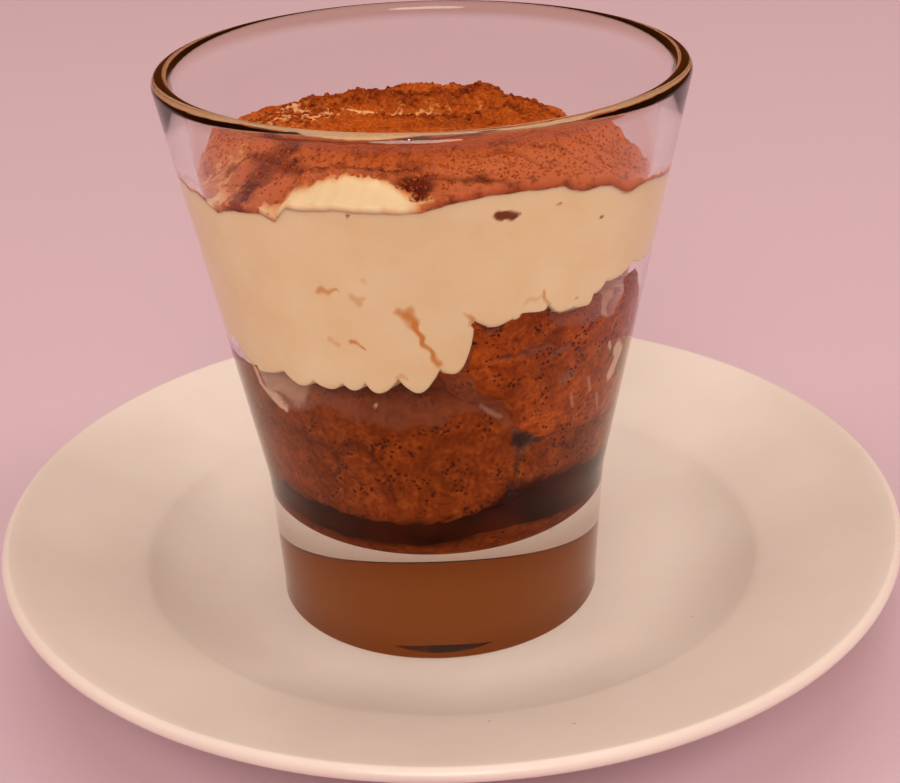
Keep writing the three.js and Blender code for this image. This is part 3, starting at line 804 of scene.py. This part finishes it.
def addCocoa():
    c = cocoa
    back = int(c["columns"] * c["backShare"])
    side = c["backFrom"]
    front = np.linspace(-side, side, c["columns"] - back)
    angles = np.radians(np.concatenate([front, np.linspace(side, 360 - side, back + 2)[1:-1]]))
    edge = edgeHeight(angles)
    glass = wallRadius(edge + 0.7) + c["sink"]
    shares = 1 - np.linspace(0, 1, c["rings"] + 1)[:-1] ** 1.1
    x = shares[None, :] * (glass * np.sin(angles))[:, None]
    y = -shares[None, :] * (glass * np.cos(angles))[:, None]
    flat = np.stack([x, y, np.zeros_like(x)], -1)
    crumble = fractal(flat, 2.6, 5, 2)
    clumps = fractal(flat, 0.8, 3, 5)
    base = topHeight(x, y, edge[:, None], crumble)
    cover = 1.1 + 0.12 * crumble
    for away, missing in ovals(x, y, c["bare"]):
        cover -= missing * smooth(1.45, 0.6, away + 0.22 * crumble)
    # the dampness also paints shade in the cracks, the pit and the fold's shadow
    _, dampAndShade, clots = seamLifts(x, y, crumble)
    for away, wetAndShade in ovals(x, y, c["dampAndShade"]):
        dampAndShade = np.maximum(dampAndShade, wetAndShade * smooth(1.5, 0.5, away + 0.25 * crumble))
    powder = smooth(0.25, 0.9, cover)
    upper = base + 0.85 + 0.45 * powder + powder * c["lump"] * (0.9 * crumble + 1.1 * clumps)
    bearing = np.abs(np.degrees(angles))
    every = c["underEvery"]
    low = base[:, ::every] + c["under"] + (0.75 - c["under"]) * smooth(50, 60, bearing)[:, None]
    low = np.minimum(low, upper[:, ::every] - 0.3)
    under = np.stack([x[:, ::every], y[:, ::every], low], -1)[:, ::-1]
    grid = np.concatenate([under, np.stack([x, y, upper], -1)], 1)
    middle = topHeight(np.zeros(1), np.zeros(1))[0]
    points, faces = closedGrid(grid, (0, 0, middle + c["under"]), (0, 0, middle + c["thick"]))

    def atPoints(values, onUnder=1):
        # the same values on the underside, which has fewer rings
        below = onUnder * values[:, ::every][:, ::-1]
        return withPoles(np.concatenate([below, values], 1), above=values[0, -1])

    inner = smooth(1, 0.95, shares)[None, :]
    for away, clotted in ovals(x, y, [c["mottled"]]):
        clots = np.maximum(clots, clotted * smooth(1.2, 0.6, away))
    # painted reflection: seen through the front of the glass the powder is made paler, like the glass's veil
    paintedVeil = 0.85 * smooth(20, 31, np.hypot(x, y)) * smooth(24, 12, y)
    values = {"cover": atPoints(cover), "dampAndShade": atPoints(dampAndShade), "paintedVeil": atPoints(paintedVeil),
              "powder": atPoints(powder * inner, 0), "clots": atPoints(clots * inner, 0)}
    skin = finished(addObject("cocoaSkin", points, faces, cocoaPowder(), **values), "cocoa", "cocoa")
    scattering = scatteringTree()
    loose = {"cocoaGrains": ("powder", "grainsPerMm", "grain", cocoaGrain("loose cocoa grains", 0.0)),
             "cocoaClots": ("clots", "clotsPerMm", "clot", cocoaGrain("damp cocoa clots", 0.5))}
    for seed, (name, (key, density, size, finish)) in enumerate(loose.items()):
        piece = bpy.data.objects.new(name, skin.data.copy())
        bpy.context.scene.collection.objects.link(piece)
        finished(applied(piece, scattering, {
            "Density Name": key, "Per Square Metre": c[density] / mm ** 2, "Seed": 7 + seed,
            "Grain Radius": c[size] * mm, "Finish": finish}), "cocoa")


addCocoa()
print("cocoa is sifted")


# Sponge

coffee = {
    "level": 25.4, "sink": 0.07, "steps": 320, "climb": 0.6,
    # where soaked sponge draws a film up the glass: angle, half angle, how high
    "film": [(44.8, 24, 5.0), (-15, 60, 2.4), (-70.5, 16, 4.2), (79.1, 14, 3.0)],
    # upper and lower border of the dark band on the glass: angle and height
    "bandTop": [(-180, 26), (-64.2, 25.7), (-35.3, 25.1), (3.8, 25.2), (17.3, 27), (22.1, 30.8), (31, 31.1),
        (43.3, 30.7), (53.4, 30), (65.6, 28.5), (84, 27), (180, 26)],
    "bandBottom": [(-180, 22.4), (-62.4, 22.6), (-36.8, 21.7), (-3.2, 21.7), (10.6, 23.4), (21.1, 25.1),
        (46.4, 22.9), (65.2, 21.7), (180, 22.4)],
}

# Direction, reach and height of each chunk's middle, half sizes and turn, as in the solids. Where a chunk
# presses on the glass, "contact" is the outline of the wet place, in degrees and millimetres up, and
# "holes" are gaps in it: angle, height, half length and half width in millimetres, turn, and 1.
chunks = {
    "sponge_bottom": {
        "tone": 1.0, "sink": 0.1, "angle": 0, "reach": 5, "height": 19.6,
        "half": (24, 20.5, 4.3), "turn": 0, "steps": 300, "rings": 60,
        "contact": [(-179, 22), (-62.1, 22.3), (-37, 21.6), (-3.4, 21.5), (10.2, 23), (19.6, 24.4),
            (23.8, 24), (45.8, 22.6), (63.6, 21.6), (179, 21.5), (179, 16), (-179, 16)], "holes": []},
    "sponge_front": {
        "tone": 0.95, "sink": 0.16, "angle": -22, "reach": 11.5, "height": 36.4,
        "half": (24.4, 20.2, 16.6), "turn": 2, "steps": 420, "rings": 200,
        "contact": [(-92.7, 49), (-77.7, 51), (-62.1, 51.6), (-56.5, 51.2), (-55.2, 48.5), (-53.7, 46.4),
            (-52, 45.8), (-46.1, 45), (-39.8, 45.7), (-32.9, 48), (-28.8, 47.5), (-24.6, 45.7), (-19.7, 45.9),
            (-15.7, 45.2), (-10.5, 44.8), (-5.5, 45.1), (1.5, 45.4), (7.6, 47.8), (12.5, 47.6), (17.4, 45.4),
            (21.3, 43.2), (23.5, 40.4), (24.6, 37.3), (24.7, 34.3), (23.1, 31.5), (20.7, 29.1), (13.8, 28.4),
            (3.9, 26.9), (-12.9, 26.2), (-27, 26.4), (-38.4, 27.3), (-52.5, 27.3), (-60.5, 28.2),
            (-68.4, 29.5), (-92.7, 30)],
        "holes": [(-18.3, 48.1, 0.4, 0.3, 0, 1)]},
    "sponge_right_low": {
        "tone": 1.0, "sink": 0.12, "angle": 46, "reach": 12, "height": 33,
        "half": (15.5, 20, 8.4), "turn": 4, "steps": 300, "rings": 110,
        "contact": [(25.4, 33), (26.5, 37.2), (30.3, 39.5), (34.9, 40.4), (40.7, 41), (49.9, 42), (63.6, 42),
            (98.7, 42), (98.7, 26), (65.6, 27.2), (53.4, 29), (43.3, 29.8), (31, 30.2), (25.4, 30.6)],
        "holes": []},
    "sponge_right_high": {
        "tone": 1.36, "sink": 0.14, "angle": 42, "reach": 12, "height": 52.2,
        "half": (19.5, 23, 14.2), "turn": -5, "steps": 380, "rings": 170,
        "contact": [(10, 64), (10.5, 59), (9, 55.4), (12.7, 51.2), (18.5, 49.9), (20.8, 47.6), (23, 43.8),
            (27.3, 41.9), (32.6, 40.8), (40, 40.2), (48.5, 39.6), (63.6, 38), (98.7, 37.5), (98.7, 49),
            (84, 52), (75.8, 55), (71.7, 58.5), (67.5, 62), (62.1, 65.5), (56.5, 65), (58.4, 62.5),
            (57.7, 61), (55.9, 60), (55.7, 58.4), (51.2, 58.8), (47, 59.1), (34.6, 60.1), (31.1, 62.4),
            (28.2, 64.5), (22.8, 64.4), (17.5, 62.6), (14.9, 60)],
        "holes": [(18.6, 57, 3.2, 0.45, -6, 1), (26.9, 57.4, 4.0, 0.9, 3, 1), (35.3, 56, 2.2, 0.6, 12, 1),
            (39.3, 50.3, 2.0, 1.1, 20, 1), (40.4, 39.6, 1.0, 0.35, 15, 1)]},
    "sponge_back_left": {
        "tone": 0.9, "sink": 0.14, "angle": -122, "reach": 13, "height": 37.5,
        "half": (22, 18, 16.5), "turn": 6, "steps": 260, "rings": 80,
        "contact": [(-172, 23), (-62.1, 23), (-62.1, 47), (-82.7, 50), (-121.9, 48), (-172, 49)],
        "holes": []},
    "sponge_back_right": {
        "tone": 1.0, "sink": 0.14, "angle": 130, "reach": 14, "height": 38.5,
        "half": (22, 19, 17.5), "turn": -5, "steps": 260, "rings": 80,
        "contact": [(65.7, 23), (173, 23), (173, 50), (131.7, 52), (103.5, 49), (65.7, 48)], "holes": []},
}
spongeShape = {
    "power": 2.7, "knuckle": 0.025, "sink": 0.12, "degree": 0.55, "round": 5.0, "lift": 0.35,
    "crumb": 0.45, "lumps": 0.9, "ragged": 0.55, "crowd": 0.45, "film": 0.45,
    # darker lines in the front chunk where its crust runs: angles and heights
    "veins": [[(-41.4, 40), (-36.7, 40.3), (-32.5, 39.7), (-30.7, 37.5), (-31.2, 35.5), (-33.5, 34.2)],
        [(-27.5, 41.3), (-21.9, 41.9), (-19.3, 39.7), (-15.8, 37), (-14.1, 34), (-13.7, 31)]],
    # painted shade in the gaps between the chunks: angle, height, half length, half width, turn, strength
    "dark": [(26.1, 40.8, 2.3, 1.5, -20, 1), (30.1, 40.2, 2.2, 0.5, -8, 0.7), (24.9, 36.5, 0.7, 3.5, 0, 0.5)],
    # smears of cream on the glass, and painted highlights for glints and for the pockets where light shows
    # through: half width in millimetres, strength, angles and heights
    "smears": [(0.55, 0.9, [(-57.9, 50.5), (-56.9, 48), (-53.1, 46.3), (-50.1, 45.4), (-47.4, 45)]),
        (2.6, 0.45, [(-50.6, 49.5), (-44.3, 48.5)]), (1.3, 0.85, [(61.7, 51.2), (64.2, 49.5), (61, 46.4)]),
        (0.3, 0.8, [(55.9, 53.3), (57.3, 52)]), (0.3, 0.25, [(41.7, 47), (43.5, 44.2)]),
        (0.3, 0.3, [(48.4, 48.5), (50.5, 45.8)]), (0.3, 0.25, [(54.5, 44.3), (56.9, 40.9)]),
        (0.7, 0.5, [(53.8, 64.8), (56.5, 63), (54, 60.9), (52.3, 59.4)]),
        (0.22, 1, [(-18.3, 48.1), (-17.9, 48)]), (0.35, 0.3, [(13.3, 48.4), (16.5, 46.9), (19.1, 45.9)])],
}


def soakedSponge():
    # Sponge fingers soaked in coffee: wet orange-brown crumb with fine pores where coffee stands dark, and
    # nearly black red brown towards the coffee, with painted shade in the gaps between the chunks. Where it
    # stands off the glass a painted reflection greys it, and painted highlights mark glints and pockets where
    # light shows through. It is wet against the glass, so it hardly shines there. Its pores are drawn a
    # little coarser than life.
    material, add, where, vein, soakedAndShaded, chunkTone, film, smearAndHighlight = newMaterial(
        "soaked sponge", "vein", "soakedAndShaded", "tone", "film", "smearAndHighlight")
    soak = noisy(add, where, 340, 6, 0.66, 0.8)
    tone = add("ValToRGB", {"Fac": soak}, stops=[(0.3, "#69290a"), (0.5, "#863b0e"), (0.7, "#a55218")])
    crumb = noisy(add, where, 1500, 4, 0.7)
    shadeOf = remap(add, crumb, 0.3, 0.7, 0.58, 1.42)
    strength = add("Math", {0: shadeOf, 1: chunkTone}, operation="MULTIPLY")
    base = layered(add, tone, (1.0, strength), blend_type="MULTIPLY")
    pores = add("TexVoronoi", {"Vector": where, "Scale": 1300, "Randomness": 1.0})
    crowd = noisy(add, where, 260, 3)
    widest = remap(add, crowd, 0.42, 0.6, 0.0, 0.42)
    hole = add("Math", {0: widest, 1: pores}, operation="SUBTRACT")
    depth = remap(add, hole, -0.02, 0.1, 0.0, 0.9)
    dark = add("Math", {0: depth, 1: vein}, operation="MAXIMUM")
    # dark pores and veins, the painted reflection where it stands off the glass, the soaking with painted
    # shade between the chunks, and smears of cream with painted highlights
    base = layered(add, base, (dark, "#3a0f05"), (film, "#94583f"), (soakedAndShaded, "#350f05"), (smearAndHighlight, "#e0bda6"))
    bump = add("Bump", {"Height": crumb, "Distance": 0.0006, "Strength": 0.5})
    return plainSurface(material, add, {
        "Base Color": base, "Roughness": 0.45, "IOR": 1.36, "Specular IOR Level": 0.04,
        "Subsurface Weight": 0.15, "Subsurface Radius": (1.0, 0.35, 0.12), "Subsurface Scale": 0.002,
        "Normal": bump})


def addChunk(name, chunk, material):
    s = spongeShape

    def onGlass(shapes):
        # angles turned into millimetres along the glass
        return [(angle * s["degree"], *rest) for angle, *rest in shapes]

    # columns lie closer together on the side towards the glass
    share = np.linspace(-1, 1, chunk["steps"], endpoint=False)
    across = (math.pi * ((1 - s["crowd"]) * share + s["crowd"] * share ** 3))[:, None]
    up = np.linspace(-math.pi / 2, math.pi / 2, chunk["rings"] + 2)[1:-1]
    unit = np.stack([np.cos(up) * np.sin(across), -np.cos(up) * np.cos(across), np.sin(up) + 0 * across], -1)
    size = (np.abs(unit) ** s["power"]).sum(-1) ** (-1 / s["power"])
    knuckles = np.sin(5 * unit[..., 0] + chunk["angle"]) + np.sin(6 * unit[..., 1] + chunk["height"])
    knuckles = knuckles + np.sin(5 * unit[..., 2])
    half = np.array(chunk["half"])
    points = unit * (size * (1 + s["knuckle"] * knuckles))[..., None] * half
    points += unit * (s["lumps"] * fractal(points, 7.0, 3, chunk["height"]))[..., None]
    direction = math.radians(chunk["angle"])
    turn = np.array(Matrix.Rotation(direction + math.radians(chunk["turn"]), 3, "Z"))
    middle = aroundAxis(chunk["reach"], chunk["height"], direction)
    points = points @ turn.T + middle
    facing = ((unit @ turn.T)[..., :2] * points[..., :2]).sum(-1) / np.hypot(points[..., 0], points[..., 1])
    points[..., 2] = np.maximum(points[..., 2], tumbler["floor"] - s["sink"])
    height = points[..., 2]
    radius = np.hypot(points[..., 0], points[..., 1])
    wall = cavityRadius(height)
    bearing = np.degrees(np.arctan2(points[..., 0], -points[..., 1]))
    onWall = np.stack([bearing * s["degree"], height], -1)
    inside = outlineDistance(onWall, onGlass(chunk["contact"]))
    for away, _ in ovals(onWall[..., 0], height, onGlass(chunk["holes"])):
        inside = np.minimum(inside, (away - 1) * 1.2)
    inside = inside + s["ragged"] * fractal(points, 2.4, 5, chunk["height"] + 1)
    # away from the wet place it rounds off the glass
    apart = np.clip(-inside, 0, s["round"])
    gap = s["lift"] * smooth(0, 0.3, apart) + s["round"] - np.sqrt(s["round"] ** 2 - apart ** 2)
    pressed = wall + chunk["sink"] - gap
    front = np.maximum(smooth(0.1, 0.5, facing), smooth(-1, 0, radius - wall))
    reaching = smooth(-4, 0, inside)
    target = pressed * reaching + np.minimum(radius, pressed) * (1 - reaching)
    newRadius = radius * (1 - front) + target * front
    loose = smooth(0, 0.8, -inside)
    crumb = fractal(points, 2.2, 4, chunk["height"] + 4)
    newRadius = np.minimum(newRadius, wall + chunk["sink"]) - loose * s["crumb"] * (0.6 + crumb)
    points[..., :2] *= (newRadius / np.maximum(radius, 1e-6))[..., None]
    # how dark and soaked it is, with painted shade between the chunks, a painted reflection where it stands
    # off the glass, and smears of cream and painted highlights on the glass
    border = "bandBottom" if name == "sponge_bottom" else "bandTop"
    above = height - np.interp(bearing, *np.array(coffee[border]).T)
    if name == "sponge_bottom":
        soakedAndShaded = 0.85 * smooth(-2.2, 0.3, above + 0.7 * crumb)
    else:
        soakedAndShaded = smooth(2.8, 0.2, above + 0.9 * crumb)
    # painted shade in the gaps between the chunks, laid on with the soaking
    for away, strength in ovals(onWall[..., 0], height, onGlass(s["dark"])):
        soakedAndShaded = np.maximum(soakedAndShaded, strength * smooth(1.3, 0.6, away + 0.3 * crumb))
    tone = chunk["tone"] * (1 + 0.25 * fractal(points, 9.0, 2, chunk["height"] + 7))
    # painted reflection: a grey veil where the chunk stands off the glass, above the coffee
    film = s["film"] * smooth(0.1, 0.6, -inside) * smooth(29, 37, height) * (1 + 0.4 * crumb)
    smearAndHighlight, vein = np.zeros_like(radius), np.zeros_like(radius)
    # pale marks: smears of cream, and painted highlights at glints and air pockets
    for halfWidth, strength, line in s["smears"]:
        away = lineDistance(onWall, onGlass(line))
        smearAndHighlight = np.maximum(smearAndHighlight, strength * smooth(1.2, 0.7, away / halfWidth + 0.3 * crumb))
    for line in s["veins"] if name == "sponge_front" else []:
        vein = np.maximum(vein, 0.5 * smooth(0.7, 0.1, lineDistance(onWall, onGlass(line))))
    ends = [middle + (0, 0, sign * half[2]) for sign in (-1, 1)]
    ends[0][2] = max(ends[0][2], tumbler["floor"] - s["sink"])
    points, faces = closedGrid(points, *ends)
    values = {"vein": vein, "soakedAndShaded": soakedAndShaded, "tone": tone, "film": film, "smearAndHighlight": smearAndHighlight}
    atPoints = {key: withPoles(value) for key, value in values.items()}
    finished(addObject(name.replace("_", "."), points, faces, material, **atPoints), "sponge", name)


sponge = soakedSponge()
for chunkName, chunkSize in chunks.items():
    addChunk(chunkName, chunkSize, sponge)
print("sponge is laid")


# Coffee

def blackCoffee():
    # Strong black coffee: nearly black, wet and glossy, red brown where it is thin.
    material, add, where = newMaterial("black coffee")
    thin = noisy(add, where, 110, 3)
    tone = add("ValToRGB", {"Fac": thin}, stops=[(0.45, "#2a0b04"), (0.7, "#4a1807")])
    return plainSurface(material, add, {
        "Base Color": tone, "Roughness": 0.15, "IOR": 1.34, "Specular IOR Level": 0.03})


def addCoffee():
    c = coffee
    angles = np.linspace(-math.pi, math.pi, c["steps"], endpoint=False)
    rise = np.zeros_like(angles)
    for filmAngle, half, high in c["film"]:
        apart = (np.degrees(angles) - filmAngle + 180) % 360 - 180
        rise = np.maximum(rise, high * np.exp(-(apart / half) ** 4))
    brim = c["level"] + c["climb"] + rise + 0.4 * np.sin(5 * angles) * np.cos(2 * angles)
    bottom = tumbler["floor"]
    floorRadius = wallRadius(bottom + tumbler["corner"]) - tumbler["corner"]
    level = 0 * angles
    rings = [(share * floorRadius + level, bottom - c["sink"] + level) for share in (0.3, 0.6, 0.9, 1)]
    for share in np.linspace(0, 1, 40)[1:] ** 1.8:
        height = bottom + (brim - bottom) * share
        rings.append((cavityRadius(height) + c["sink"], height))
    for inward, drop in ((0.4, 0.2), (0.8, 0.6), (1.4, 0.9), (3, 1.0), (8, 1.0), (18, 1.0)):
        rings.append((cavityRadius(brim) - inward, brim - drop * (brim - c["level"])))
    radius, height = np.array(rings).transpose(1, 2, 0)
    grid = aroundAxis(radius, height, angles[:, None])
    points, faces = closedGrid(grid, (0, 0, bottom - c["sink"]), (0, 0, c["level"]))
    finished(addObject("coffeePool", points, faces, blackCoffee()), "coffee", "coffee")


addCoffee()
print("coffee is poured")
